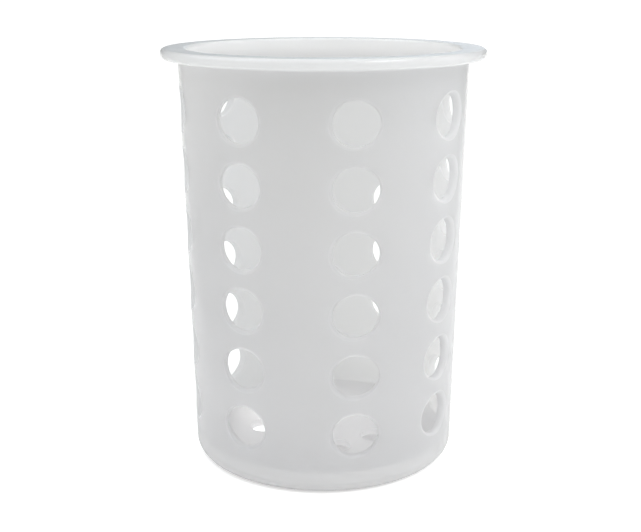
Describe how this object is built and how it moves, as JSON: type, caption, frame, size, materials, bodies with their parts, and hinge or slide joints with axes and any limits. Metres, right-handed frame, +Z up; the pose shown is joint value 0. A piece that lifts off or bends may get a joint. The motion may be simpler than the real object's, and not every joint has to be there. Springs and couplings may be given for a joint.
{
  "type": "perforated cylindrical mould",
  "caption": "Open-topped perforated plastic tub with a flat rim, rows of round drain holes in a slightly tapered wall, a raised drain floor and a foot ring.",
  "frame": {"origin": "centre of the foot, on the surface the part stands on", "axes": "+Z up along the part's axis; the wall's hole columns lie either side of the X and Y axes"},
  "size_m": [0.1072, 0.1072, 0.14],
  "materials": {
    "moulded_plastic": "translucent natural white, satin"
  },
  "bodies": {
    "root": {"rim_flange": "moulded_plastic", "side_wall": "moulded_plastic", "drain_floor": "moulded_plastic", "foot_ring": "moulded_plastic"}
  },
  "joints": []
}
